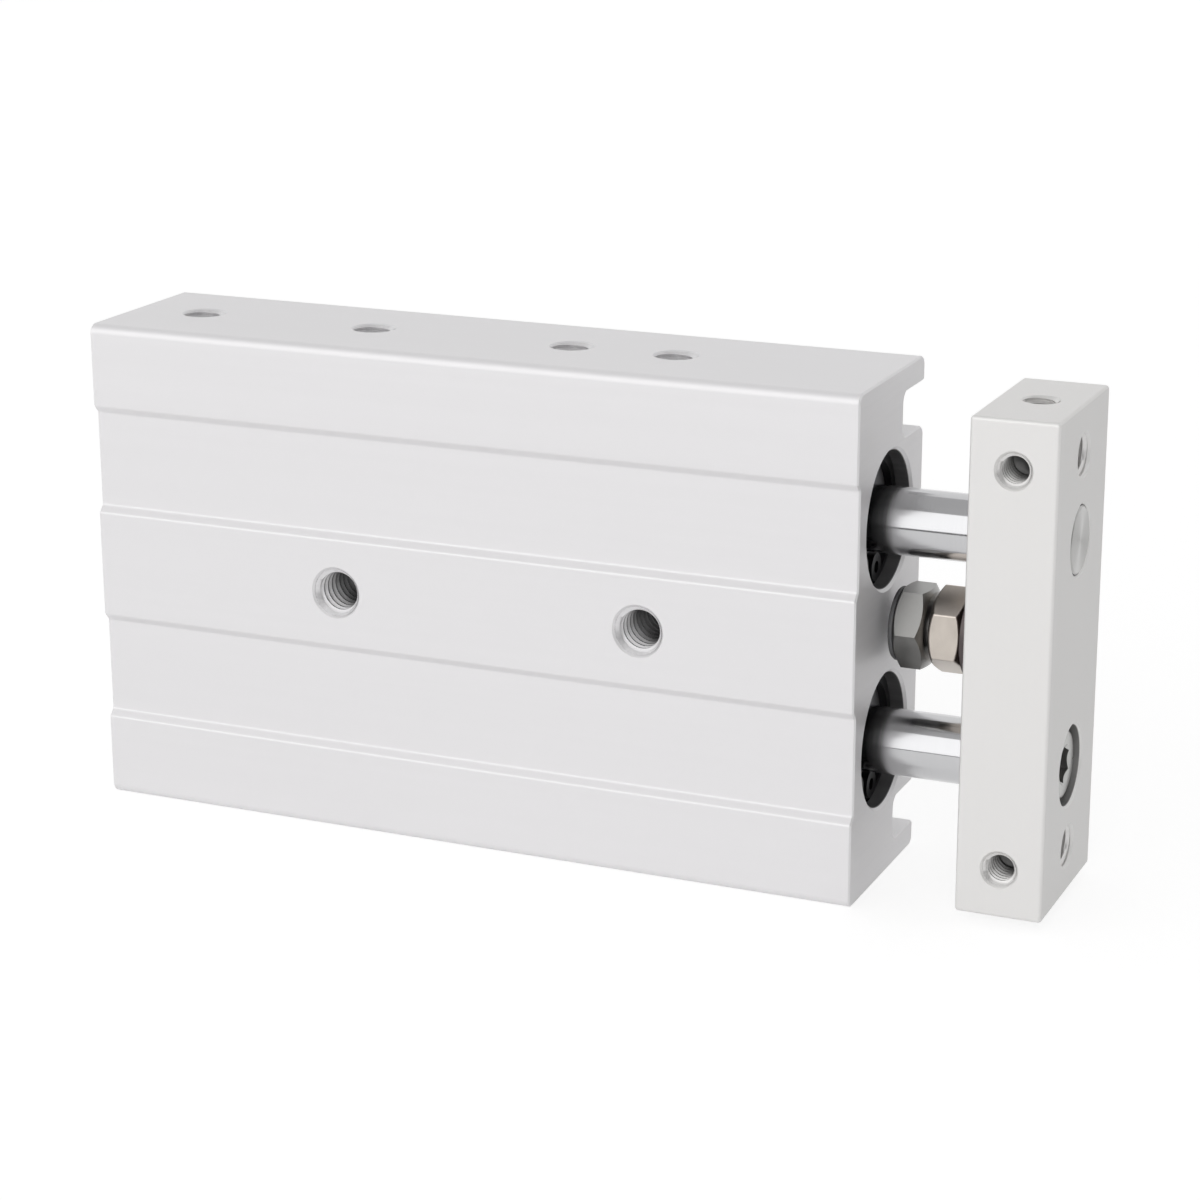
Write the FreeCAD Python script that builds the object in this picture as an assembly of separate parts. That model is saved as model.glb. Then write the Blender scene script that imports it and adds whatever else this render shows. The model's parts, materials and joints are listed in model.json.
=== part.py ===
import FreeCAD, Part
import math
import os

# Guided pneumatic cylinder: two parallel rods, joined outside by an end plate, slide in one
# extruded housing. Millimetres. +X runs along the rods towards the end plate, +Y towards the
# face with the sensor grooves, +Z up. The origin is the centre of the housing's lower narrow face.

# ---------------------------------------------------------------- housing extrusion
HOUSING_LENGTH = 101.3
HOUSING_THICKNESS = 23.6
HOUSING_HEIGHT = 62.0
LONG_EDGE_RADIUS = 1.15
END_EDGE_CHAMFER = 0.2
ROD_PITCH = 27.3

BAND_HEIGHT = 12.9          # recessed band beside each bore on the wide front face
BAND_DEPTH = 0.8
BAND_SLOPE = 0.9            # height over which a band's side runs in
BAND_ROUND = 0.5

GROOVE_LIP = 3.1            # wall between a sensor groove and the narrow face
GROOVE_WIDTH = 5.4
GROOVE_DEPTH = 7.75
GROOVE_FLOOR_RADIUS = 1.3
GROOVE_LIP_RADIUS = 0.4
GROOVE_BLOCK_RADIUS = 1.2

# ---------------------------------------------------------------- bores and their closures
BORE_D = 16.0
SEAT_D = 16.4               # widened ends of the bore that take the covers
SEAT_CHAMFER = 0.4
RING_THICKNESS = 1.0
RING_GROOVE_D = 17.4
REAR_RING_RECESS = 1.6      # housing's rear face to the rear retaining ring
FRONT_RING_RECESS = 2.0     # housing's front face to the front retaining ring
RING_BACK_WIDTH = 1.7       # radial width opposite the ring's gap
RING_TIP_WIDTH = 1.1
RING_LUG_D = 3.4
RING_LUG_HOLE_D = 1.5
RING_LUG_ANGLE = 21.0       # from the middle of the gap to each lug
RING_TURN = 81.0            # from the -Y side down to the middle of the gap
HEAD_COVER_LENGTH = 4.4
O_RING_SECTION = 1.7
O_RING_GROOVE_WIDTH = 2.2

# ---------------------------------------------------------------- rod, piston and guide
ROD_D = 8.0
ROD_END_CHAMFER = 0.2
STROKE = 35.0
REST_EXTENSION = 1.3        # how far the plate stands out from its retracted stop at rest
SPIGOT_D = 5.0              # rod's rear end, which carries the piston
PISTON_LENGTH = 11.6
PISTON_LAND = 1.6
PISTON_GROOVE_WIDTH = 3.0
PISTON_SEAL_SECTION = 2.2
PISTON_BAND_SECTION = 1.6
PISTON_NUT_FLATS = 8.0
PISTON_NUT_LENGTH = 2.7
SPIGOT_STAND = 0.3          # spigot's length past the piston nut
CUSHION_D = 12.0
FRONT_CUSHION_LENGTH = 2.0
REAR_CUSHION_D = 9.0
REAR_CUSHION_LENGTH = 2.0
REAR_CUSHION_SUNK = 1.2
NOSE_D = 12.0               # rod cover's nose, clear of the front port
NOSE_LENGTH = 2.8
BUSHING_WALL = 1.0
BUSHING_LENGTH = 26.0
ROD_SEAL_LENGTH = 3.8
ROD_SEAL_SECTION = 2.2
RETAINER_LENGTH = 2.0

# ---------------------------------------------------------------- ports and mounting holes
M4_R = 2.0
M5_R = 2.5
M6_R = 3.0
M5_CORE_R = 2.1
M6_CORE_R = 2.6
THREAD_CHAMFER = 0.3
DRILL_TIP_ANGLE = 59.0      # half the angle of a drill's point
REAR_PORT_X = 9.6           # from the housing's rear face
FRONT_PORT_X = 60.7
PORT_THREAD_DEPTH = 5.0
PLUG_LENGTH = 4.0
PLUG_RECESS = 0.4
PLUG_SOCKET_FLATS = 2.5
PLUG_SOCKET_DEPTH = 2.0
REAR_MOUNT_X = 33.8         # from the housing's rear face
FRONT_MOUNT_X = 74.2
NARROW_MOUNT_DEPTH = 6.0
WIDE_THREAD_DEPTH = 12.0
COUNTERBORE_D = 9.0
COUNTERBORE_DEPTH = 5.0

# ---------------------------------------------------------------- end plate and its fasteners
PLATE_GAP = 12.4            # housing to plate at rest
PLATE_THICKNESS = 10.4
PLATE_WIDTH = 21.0
PLATE_HEIGHT = 59.2
PLATE_EDGE_RADIUS = 0.45
PLATE_HOLE_PITCH = 47.4
PLATE_SIDE_HOLE_DEPTH = 6.0
ROD_HOLE_CHAMFER = 0.35
PILOT_DEPTH = 1.7           # recess in the plate's rear face that centres the lower rod
CAP_SCREW_HEAD_D = 8.5
CAP_SCREW_HEAD_LENGTH = 5.0
CAP_SCREW_EDGE = 0.45
CAP_SCREW_RECESS = 0.7
CAP_SCREW_CLEARANCE_R = 2.65
CAP_SCREW_REACH = 12.0      # thread length inside the lower rod
CAP_SCREW_RUN_OUT = 1.0     # tapped length past the screw's tip
CAP_SCREW_SOCKET_FLATS = 4.0
CAP_SCREW_SOCKET_DEPTH = 2.6
HEAD_POCKET_D = 9.6
HEAD_POCKET_CHAMFER = 0.3
SET_SCREW_LENGTH = 3.2
SET_SCREW_SOCKET_FLATS = 2.0
SET_SCREW_SOCKET_DEPTH = 1.6

# ---------------------------------------------------------------- bumper bolt between the rods
BUMPER_RISE = 1.2           # bolt axis above the middle of the housing
BUMPER_D = 8.8
BUMPER_LENGTH = 0.6
BUMPER_EDGE = 0.2
BUMPER_STEM_D = 4.0
BUMPER_STEM_LENGTH = 1.6
STOP_CLEARANCE = 0.05       # left between bumper and housing at the retracted stop
HEX_FLATS = 9.2
HEX_CHAMFER_ANGLE = 30.0
HEX_FACE_SHARE = 0.9        # flat face's diameter over the width across flats
BOLT_HEAD_LENGTH = 3.75
BOLT_HEAD_TURN = 31.0       # one flat's normal above -Y
NUT_LENGTH = 4.1
NUT_TURN = 3.6
NUT_HEAD_GAP = 0.55
BOLT_THREAD_REACH = 7.0     # thread length inside the plate
BOLT_THREAD_RUN_OUT = 0.5   # tapped length past the bolt's tip
WASHER_D = 10.6
WASHER_SPLIT = 1.2
WASHER_SPLIT_ANGLE = 20.0
WASHER_TURN = 205.0         # where the split points, turned from +Z about +X

# ---------------------------------------------------------------- fits (radial or end gaps)
RUNNING_GAP = 0.03
PISTON_GAP = 0.05
SEATED_GAP = 0.02
THREAD_GAP = 0.04
SEAL_RELIEF = 0.1
ROD_CLEARANCE = 0.2
STROKE_END_GAP = 0.25
CUT_MARGIN = 1.0            # how far a cutting shape reaches past the face that it opens

# ---------------------------------------------------------------- places worked out from the sizes
REAR_X = -HOUSING_LENGTH / 2
FRONT_X = HOUSING_LENGTH / 2
BACK_Y = HOUSING_THICKNESS / 2
FRONT_Y = -HOUSING_THICKNESS / 2
MID_Z = HOUSING_HEIGHT / 2
ROD_Z = {"upper": MID_Z + ROD_PITCH / 2, "lower": MID_Z - ROD_PITCH / 2}
ROD_R = ROD_D / 2
BORE_R = BORE_D / 2
COVER_R = SEAT_D / 2 - SEATED_GAP
PORT_XS = [REAR_X + REAR_PORT_X, REAR_X + FRONT_PORT_X]
MOUNT_XS = [REAR_X + REAR_MOUNT_X, REAR_X + FRONT_MOUNT_X]

REAR_RING_X = REAR_X + REAR_RING_RECESS
HEAD_COVER_X = REAR_RING_X + RING_THICKNESS
HEAD_SEAT_X = HEAD_COVER_X + HEAD_COVER_LENGTH

PISTON_REAR_X = PORT_XS[0] + M5_CORE_R + REST_EXTENSION
PISTON_FRONT_X = PISTON_REAR_X + PISTON_LENGTH
SPIGOT_END_X = PISTON_REAR_X - PISTON_NUT_LENGTH - SPIGOT_STAND
EXTENDED_X = PISTON_FRONT_X + FRONT_CUSHION_LENGTH + STROKE - REST_EXTENSION

NOSE_X = EXTENDED_X + STROKE_END_GAP
ROD_COVER_X = NOSE_X + NOSE_LENGTH
FRONT_RING_X = FRONT_X - FRONT_RING_RECESS - RING_THICKNESS
RETAINER_X = FRONT_RING_X - RETAINER_LENGTH
SEAL_POCKET_X = RETAINER_X - ROD_SEAL_LENGTH - SEAL_RELIEF

PLATE_X = FRONT_X + PLATE_GAP
PLATE_END_X = PLATE_X + PLATE_THICKNESS
PLATE_MID_X = PLATE_X + PLATE_THICKNESS / 2
PLATE_HOLE_ZS = [MID_Z - PLATE_HOLE_PITCH / 2, MID_Z + PLATE_HOLE_PITCH / 2]
HEAD_POCKET_X = PLATE_END_X - CAP_SCREW_RECESS - CAP_SCREW_HEAD_LENGTH

BUMPER_Z = MID_Z + BUMPER_RISE
BUMPER_X = FRONT_X + REST_EXTENSION + STOP_CLEARANCE
BOLT_HEAD_X = BUMPER_X + BUMPER_LENGTH
BOLT_HEAD_END_X = BOLT_HEAD_X + BOLT_HEAD_LENGTH
NUT_X = BOLT_HEAD_END_X + NUT_HEAD_GAP
NUT_END_X = NUT_X + NUT_LENGTH

ALONG_X = FreeCAD.Vector(1, 0, 0)
ALONG_Y = FreeCAD.Vector(0, 1, 0)
ALONG_Z = FreeCAD.Vector(0, 0, 1)


# ---------------------------------------------------------------- shared shapes
def point(x, y, z):
    return FreeCAD.Vector(x, y, z)


def bar(radius, x_start, x_end, z):
    """Round bar along X, centred in the thickness, at height z."""
    return Part.makeCylinder(radius, x_end - x_start, point(x_start, 0, z), ALONG_X)


def tube(outer_r, inner_r, x_start, x_end, z):
    return bar(outer_r, x_start, x_end, z).cut(bar(inner_r, x_start, x_end, z))


def turned(outline, z):
    """Solid turned about the rod axis at height z from (x, radius) corners."""
    corners = [point(x, 0, z + radius) for x, radius in outline]
    face = Part.Face(Part.makePolygon(corners + corners[:1]))
    return face.revolve(point(0, 0, z), ALONG_X, 360)


def drilled(radius, depth, mouth, inward):
    """Drill's path: a cylinder from the mouth, with a conical point past its depth."""
    tip = radius / math.tan(math.radians(DRILL_TIP_ANGLE))
    hole = Part.makeCylinder(radius, depth, mouth, inward)
    return hole.fuse(Part.makeCone(radius, 0, tip, mouth + inward * depth, inward))


def countersink(radius, chamfer, mouth, inward):
    return Part.makeCone(radius + chamfer, radius, chamfer, mouth, inward)


def tapped(radius, depth, mouth, inward):
    """Blind tapped hole at its thread's outer radius, chamfered at the mouth."""
    hole = Part.makeCylinder(radius, depth, mouth, inward)
    tip = drilled(radius * M5_CORE_R / M5_R, depth, mouth, inward)
    return hole.fuse([tip, countersink(radius, THREAD_CHAMFER, mouth, inward)])


def hexagon(flats, turn, x_start, x_end, z):
    """Hexagonal bar along X. turn lifts one flat's normal above -Y."""
    corner_r = flats / math.sqrt(3)
    corners = []
    for index in range(7):
        angle = math.radians(turn + 30 + 60 * index)
        corners.append(point(x_start, -corner_r * math.cos(angle), z + corner_r * math.sin(angle)))
    face = Part.Face(Part.makePolygon(corners))
    return face.extrude(point(x_end - x_start, 0, 0))


def chamfered_hexagon(flats, turn, x_start, x_end, z):
    """Hexagon whose corners are turned off by a shallow cone at both ends."""
    inscribed = HEX_FACE_SHARE * flats / 2
    corner_r = flats / math.sqrt(3)
    run = (corner_r - inscribed) * math.tan(math.radians(HEX_CHAMFER_ANGLE))
    envelope = turned([(x_start, 0), (x_start, inscribed), (x_start + run, corner_r),
                       (x_end - run, corner_r), (x_end, inscribed), (x_end, 0)], z)
    return hexagon(flats, turn, x_start, x_end, z).common(envelope)


def rounded_face(corners):
    """Flat face in the YZ plane from (y, z, radius) corners, each rounded by its own radius."""
    edges = []
    starts = []
    ends = []
    for index, (y, z, radius) in enumerate(corners):
        here = point(0, y, z)
        before = corners[index - 1]
        after = corners[(index + 1) % len(corners)]
        to_before = (point(0, before[0], before[1]) - here).normalize()
        to_after = (point(0, after[0], after[1]) - here).normalize()
        half_angle = to_before.getAngle(to_after) / 2
        setback = radius / math.tan(half_angle)
        middle = (to_before + to_after).normalize()
        nearest = here + middle * (radius / math.sin(half_angle) - radius)
        starts.append(here + to_before * setback)
        ends.append(here + to_after * setback)
        edges.append(Part.Arc(starts[-1], nearest, ends[-1]).toShape())
    for index, start in enumerate(starts):
        edges.append(Part.makeLine(ends[index - 1], start))
    return Part.Face(Part.Wire(Part.__sortEdges__(edges)))


# ---------------------------------------------------------------- housing
def band_corners(z_middle):
    """Recessed band beside a bore on the front face, from its lower to its upper side."""
    outer = BAND_HEIGHT / 2 + BAND_SLOPE / 2
    inner = BAND_HEIGHT / 2 - BAND_SLOPE / 2
    floor_y = FRONT_Y + BAND_DEPTH
    return [(FRONT_Y, z_middle - outer, BAND_ROUND),
            (floor_y, z_middle - inner, BAND_ROUND),
            (floor_y, z_middle + inner, BAND_ROUND),
            (FRONT_Y, z_middle + outer, BAND_ROUND)]


def groove_corners(lip_z, block_z):
    """Sensor groove in the back face, from its lip round the floor to the block's side."""
    floor_y = BACK_Y - GROOVE_DEPTH
    return [(BACK_Y, lip_z, GROOVE_LIP_RADIUS),
            (floor_y, lip_z, GROOVE_FLOOR_RADIUS),
            (floor_y, block_z, GROOVE_FLOOR_RADIUS),
            (BACK_Y, block_z, GROOVE_BLOCK_RADIUS)]


def extrusion():
    upper_lip = HOUSING_HEIGHT - GROOVE_LIP
    lower_groove = groove_corners(GROOVE_LIP, GROOVE_LIP + GROOVE_WIDTH)
    corners = [(FRONT_Y, 0, LONG_EDGE_RADIUS)]
    corners += band_corners(ROD_Z["lower"])
    corners += band_corners(ROD_Z["upper"])
    corners += [(FRONT_Y, HOUSING_HEIGHT, LONG_EDGE_RADIUS), (BACK_Y, HOUSING_HEIGHT, LONG_EDGE_RADIUS)]
    corners += groove_corners(upper_lip, upper_lip - GROOVE_WIDTH)
    corners += lower_groove[::-1]
    corners += [(BACK_Y, 0, LONG_EDGE_RADIUS)]
    section = rounded_face(corners)
    section.translate(point(REAR_X, 0, 0))
    solid = section.extrude(point(HOUSING_LENGTH, 0, 0))
    ends = [edge for edge in solid.Edges if abs(edge.BoundBox.XLength) < END_EDGE_CHAMFER]
    return solid.makeChamfer(END_EDGE_CHAMFER, ends)


def bore_cavity(z):
    """One bore: piston bore, wider cover seats, ring grooves and mouth chamfers."""
    seat_r = SEAT_D / 2
    groove_r = RING_GROOVE_D / 2
    return turned([(REAR_X, 0), (REAR_X, seat_r + SEAT_CHAMFER), (REAR_X + SEAT_CHAMFER, seat_r),
                   (REAR_RING_X, seat_r), (REAR_RING_X, groove_r),
                   (HEAD_COVER_X, groove_r), (HEAD_COVER_X, seat_r),
                   (HEAD_SEAT_X, seat_r), (HEAD_SEAT_X, BORE_R),
                   (ROD_COVER_X, BORE_R), (ROD_COVER_X, seat_r),
                   (FRONT_RING_X, seat_r), (FRONT_RING_X, groove_r),
                   (FRONT_RING_X + RING_THICKNESS, groove_r), (FRONT_RING_X + RING_THICKNESS, seat_r),
                   (FRONT_X - SEAT_CHAMFER, seat_r), (FRONT_X, seat_r + SEAT_CHAMFER), (FRONT_X, 0)], z)


def port_cuts(x):
    """Air passage drilled through both bores, tapped at both narrow faces."""
    cuts = [Part.makeCylinder(M5_CORE_R, HOUSING_HEIGHT, point(x, 0, 0), ALONG_Z)]
    for z, inward in ((0, ALONG_Z), (HOUSING_HEIGHT, -ALONG_Z)):
        cuts.append(Part.makeCylinder(M5_R, PORT_THREAD_DEPTH, point(x, 0, z), inward))
        cuts.append(countersink(M5_R, THREAD_CHAMFER, point(x, 0, z), inward))
    return cuts


def mount_cuts(x):
    """Mounting holes at one station: through the web, and blind in both narrow faces."""
    front = point(x, FRONT_Y, MID_Z)
    back = point(x, BACK_Y, MID_Z)
    return [Part.makeCylinder(M6_R, WIDE_THREAD_DEPTH, front, ALONG_Y),
            countersink(M6_R, THREAD_CHAMFER, front, ALONG_Y),
            Part.makeCylinder(M6_CORE_R, HOUSING_THICKNESS, front, ALONG_Y),
            Part.makeCylinder(COUNTERBORE_D / 2, COUNTERBORE_DEPTH, back, -ALONG_Y),
            countersink(COUNTERBORE_D / 2, THREAD_CHAMFER, back, -ALONG_Y),
            tapped(M5_R, NARROW_MOUNT_DEPTH, point(x, 0, 0), ALONG_Z),
            tapped(M5_R, NARROW_MOUNT_DEPTH, point(x, 0, HOUSING_HEIGHT), -ALONG_Z)]


def housing():
    cuts = [bore_cavity(z) for z in ROD_Z.values()]
    for x in PORT_XS:
        cuts += port_cuts(x)
    for x in MOUNT_XS:
        cuts += mount_cuts(x)
    return extrusion().cut(cuts)


# ---------------------------------------------------------------- covers, rings and seals in the bores
def retaining_ring(x, z):
    """Internal snap ring: a band that narrows towards the two drilled lugs at its open underside."""
    outer_r = RING_GROOVE_D / 2 - SEATED_GAP
    inner_r = outer_r - (RING_BACK_WIDTH + RING_TIP_WIDTH) / 2
    offset = (RING_BACK_WIDTH - RING_TIP_WIDTH) / 2
    lug_r = RING_LUG_D / 2
    lug_reach = SEAT_D / 2 - lug_r
    end = x + RING_THICKNESS
    hollow = Part.makeCylinder(inner_r, RING_THICKNESS, point(x, -offset, z), ALONG_X)
    band = bar(outer_r, x, end, z).cut(hollow)
    half_gap = lug_reach * math.sin(math.radians(RING_LUG_ANGLE))
    gap_y = -outer_r - CUT_MARGIN
    gap = Part.makeBox(RING_THICKNESS, -gap_y, 2 * half_gap, point(x, gap_y, z - half_gap))
    lugs = []
    holes = []
    for side in (-1, 1):
        angle = math.radians(side * RING_LUG_ANGLE)
        centre = point(x, -lug_reach * math.cos(angle), z + lug_reach * math.sin(angle))
        lugs.append(Part.makeCylinder(lug_r, RING_THICKNESS, centre, ALONG_X))
        holes.append(Part.makeCylinder(RING_LUG_HOLE_D / 2, RING_THICKNESS, centre, ALONG_X))
    ring = band.cut(gap).fuse(lugs).cut(holes)
    ring = ring.common(bar(outer_r, x, end, z)).removeSplitter()
    ring.rotate(point(x, 0, z), ALONG_X, RING_TURN)
    return ring


def o_ring(x_middle, z):
    """O-ring squeezed in a cover's groove: eight-sided in section, filling the seat."""
    half = O_RING_SECTION / 2
    flat = half * math.tan(math.pi / 8)
    middle_r = SEAT_D / 2 - SEATED_GAP - half
    corners = [(-flat, -half), (flat, -half), (half, -flat), (half, flat),
               (flat, half), (-flat, half), (-half, flat), (-half, -flat)]
    return turned([(x_middle + along, middle_r + out) for along, out in corners], z)


def o_ring_groove(x_middle, z):
    half = O_RING_GROOVE_WIDTH / 2
    floor_r = SEAT_D / 2 - SEATED_GAP - O_RING_SECTION - SEATED_GAP
    return tube(COVER_R + CUT_MARGIN, floor_r, x_middle - half, x_middle + half, z)


def head_o_ring_x():
    return HEAD_COVER_X + HEAD_COVER_LENGTH / 2


def rod_o_ring_x():
    return (ROD_COVER_X + RETAINER_X) / 2


def head_cover(z):
    cover = bar(COVER_R, HEAD_COVER_X, HEAD_SEAT_X, z)
    recess = bar(REAR_CUSHION_D / 2 + SEATED_GAP, HEAD_SEAT_X - REAR_CUSHION_SUNK, HEAD_SEAT_X, z)
    return cover.cut([recess, o_ring_groove(head_o_ring_x(), z)])


def rear_cushion(z):
    start = HEAD_SEAT_X - REAR_CUSHION_SUNK
    return bar(REAR_CUSHION_D / 2, start, start + REAR_CUSHION_LENGTH, z)


def rod_cover(z):
    """Front gland: nose, guide bore for the bushing and a pocket for the rod seal."""
    bushing_r = ROD_R + RUNNING_GAP + BUSHING_WALL + SEATED_GAP
    pocket_r = ROD_R + RUNNING_GAP + ROD_SEAL_SECTION + SEATED_GAP
    passage_r = ROD_R + ROD_CLEARANCE
    bushing_x = SEAL_POCKET_X - BUSHING_LENGTH
    gland = turned([(NOSE_X, passage_r), (NOSE_X, NOSE_D / 2), (ROD_COVER_X, NOSE_D / 2),
                    (ROD_COVER_X, COVER_R), (RETAINER_X, COVER_R), (RETAINER_X, pocket_r),
                    (SEAL_POCKET_X, pocket_r), (SEAL_POCKET_X, bushing_r),
                    (bushing_x, bushing_r), (bushing_x, passage_r)], z)
    return gland.cut(o_ring_groove(rod_o_ring_x(), z))


def rod_bushing(z):
    inner_r = ROD_R + RUNNING_GAP
    return tube(inner_r + BUSHING_WALL, inner_r, SEAL_POCKET_X - BUSHING_LENGTH, SEAL_POCKET_X, z)


def rod_seal(z):
    """Lip seal: a ring with a channel between its two lips, open towards the bore."""
    inner_r = ROD_R + RUNNING_GAP
    outer_r = inner_r + ROD_SEAL_SECTION
    third = ROD_SEAL_SECTION / 3
    end = SEAL_POCKET_X + ROD_SEAL_LENGTH
    return turned([(SEAL_POCKET_X, inner_r), (SEAL_POCKET_X, inner_r + third),
                   (SEAL_POCKET_X + ROD_SEAL_LENGTH / 2, inner_r + ROD_SEAL_SECTION / 2),
                   (SEAL_POCKET_X, outer_r - third), (SEAL_POCKET_X, outer_r),
                   (end, outer_r), (end, inner_r)], z)


def seal_retainer(z):
    return tube(COVER_R, ROD_R + ROD_CLEARANCE, RETAINER_X, FRONT_RING_X, z)


def port_plug(x):
    """Hexagon-socket plug screwed into a lower port from below."""
    body = Part.makeCylinder(M5_R - THREAD_GAP, PLUG_LENGTH, point(x, 0, PLUG_RECESS), ALONG_Z)
    return body.cut(upright_socket(PLUG_SOCKET_FLATS, PLUG_SOCKET_DEPTH, x, PLUG_RECESS))


def upright_socket(flats, depth, x, z):
    """Hexagonal socket that runs up from height z."""
    corner_r = flats / math.sqrt(3)
    corners = []
    for index in range(7):
        angle = math.radians(60 * index)
        corners.append(point(x + corner_r * math.cos(angle), corner_r * math.sin(angle), z))
    return Part.Face(Part.makePolygon(corners)).extrude(point(0, 0, depth))


# ---------------------------------------------------------------- rods and pistons
def piston_grooves(z):
    """Channels for the seal and for the second ring, cut into the piston's outside."""
    outer_r = BORE_R - PISTON_GAP
    seal_x = PISTON_REAR_X + PISTON_LAND
    band_x = seal_x + PISTON_GROOVE_WIDTH + PISTON_LAND
    seal_floor = BORE_R - RUNNING_GAP - PISTON_SEAL_SECTION - SEATED_GAP
    band_floor = BORE_R - PISTON_GAP - PISTON_BAND_SECTION - SEATED_GAP
    return [tube(outer_r + CUT_MARGIN, seal_floor, seal_x, seal_x + PISTON_GROOVE_WIDTH, z),
            tube(outer_r + CUT_MARGIN, band_floor, band_x, band_x + PISTON_GROOVE_WIDTH, z)]


def piston(z):
    body = tube(BORE_R - PISTON_GAP, SPIGOT_D / 2 + SEATED_GAP, PISTON_REAR_X, PISTON_FRONT_X, z)
    return body.cut(piston_grooves(z))


def piston_seal(z):
    outer_r = BORE_R - RUNNING_GAP
    start = PISTON_REAR_X + PISTON_LAND + SEAL_RELIEF
    end = PISTON_REAR_X + PISTON_LAND + PISTON_GROOVE_WIDTH - SEAL_RELIEF
    return tube(outer_r, outer_r - PISTON_SEAL_SECTION, start, end, z)


def piston_band(z):
    """Magnet or wear ring in the piston's second channel, flush with its outside."""
    outer_r = BORE_R - PISTON_GAP
    start = PISTON_REAR_X + 2 * PISTON_LAND + PISTON_GROOVE_WIDTH + SEATED_GAP
    return tube(outer_r, outer_r - PISTON_BAND_SECTION, start,
                start + PISTON_GROOVE_WIDTH - 2 * SEATED_GAP, z)


def piston_nut(z):
    start = PISTON_REAR_X - PISTON_NUT_LENGTH
    nut = chamfered_hexagon(PISTON_NUT_FLATS, 0, start, PISTON_REAR_X, z)
    return nut.cut(bar(SPIGOT_D / 2 + THREAD_GAP, start, PISTON_REAR_X, z))


def front_cushion(z):
    return tube(CUSHION_D / 2, ROD_R + SEATED_GAP, PISTON_FRONT_X,
                PISTON_FRONT_X + FRONT_CUSHION_LENGTH, z)


def piston_rod(end_x, z):
    """Rod from its piston spigot to its end in the plate, chamfered there."""
    spigot_r = SPIGOT_D / 2
    return turned([(SPIGOT_END_X, 0), (SPIGOT_END_X, spigot_r - ROD_END_CHAMFER),
                   (SPIGOT_END_X + ROD_END_CHAMFER, spigot_r), (PISTON_FRONT_X, spigot_r),
                   (PISTON_FRONT_X, ROD_R), (end_x - ROD_END_CHAMFER, ROD_R),
                   (end_x, ROD_R - ROD_END_CHAMFER), (end_x, 0)], z)


def piston_rod_lower():
    """Lower rod: stops in the plate's pilot recess and is tapped for the cap screw."""
    end_x = PLATE_X + PILOT_DEPTH
    rod = piston_rod(end_x, ROD_Z["lower"])
    depth = CAP_SCREW_REACH + CAP_SCREW_RUN_OUT
    return rod.cut(drilled(M5_R, depth, point(end_x, 0, ROD_Z["lower"]), -ALONG_X))


# ---------------------------------------------------------------- end plate and fasteners
def plate_blank():
    blank = Part.makeBox(PLATE_THICKNESS, PLATE_WIDTH, PLATE_HEIGHT,
                         point(PLATE_X, -PLATE_WIDTH / 2, MID_Z - PLATE_HEIGHT / 2))
    return blank.makeFillet(PLATE_EDGE_RADIUS, blank.Edges)


def upper_rod_cuts():
    """Clamped end of the upper rod: a through bore, and the set screw's hole down to it."""
    hole_r = ROD_R + SEATED_GAP
    top = MID_Z + PLATE_HEIGHT / 2
    return [bar(hole_r, PLATE_X, PLATE_END_X, ROD_Z["upper"]),
            countersink(hole_r, ROD_HOLE_CHAMFER, point(PLATE_END_X, 0, ROD_Z["upper"]), -ALONG_X),
            Part.makeCylinder(M4_R, top - ROD_Z["upper"], point(PLATE_MID_X, 0, ROD_Z["upper"]), ALONG_Z),
            countersink(M4_R, THREAD_CHAMFER, point(PLATE_MID_X, 0, top), -ALONG_Z)]


def lower_rod_cuts():
    """Screwed end of the lower rod: pilot recess, clearance hole and the head's pocket."""
    z = ROD_Z["lower"]
    pocket_r = HEAD_POCKET_D / 2
    return [bar(ROD_R + SEATED_GAP, PLATE_X, PLATE_X + PILOT_DEPTH, z),
            bar(CAP_SCREW_CLEARANCE_R, PLATE_X, PLATE_END_X, z),
            bar(pocket_r, HEAD_POCKET_X, PLATE_END_X, z),
            countersink(pocket_r, HEAD_POCKET_CHAMFER, point(PLATE_END_X, 0, z), -ALONG_X)]


def plate_mount_cuts(z):
    """Tapped holes at one end of the plate: right through it, and in from both sides."""
    cuts = [bar(M5_R, PLATE_X, PLATE_END_X, z),
            countersink(M5_R, THREAD_CHAMFER, point(PLATE_X, 0, z), ALONG_X),
            countersink(M5_R, THREAD_CHAMFER, point(PLATE_END_X, 0, z), -ALONG_X)]
    for y, inward in ((-PLATE_WIDTH / 2, ALONG_Y), (PLATE_WIDTH / 2, -ALONG_Y)):
        cuts.append(tapped(M4_R, PLATE_SIDE_HOLE_DEPTH, point(PLATE_MID_X, y, z), inward))
    return cuts


def end_plate():
    bolt_depth = BOLT_THREAD_REACH + BOLT_THREAD_RUN_OUT
    bolt_hole = drilled(M6_R + THREAD_GAP, bolt_depth, point(PLATE_X, 0, BUMPER_Z), ALONG_X)
    cuts = upper_rod_cuts() + lower_rod_cuts() + [bolt_hole]
    for z in PLATE_HOLE_ZS:
        cuts += plate_mount_cuts(z)
    return plate_blank().cut(cuts)


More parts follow.
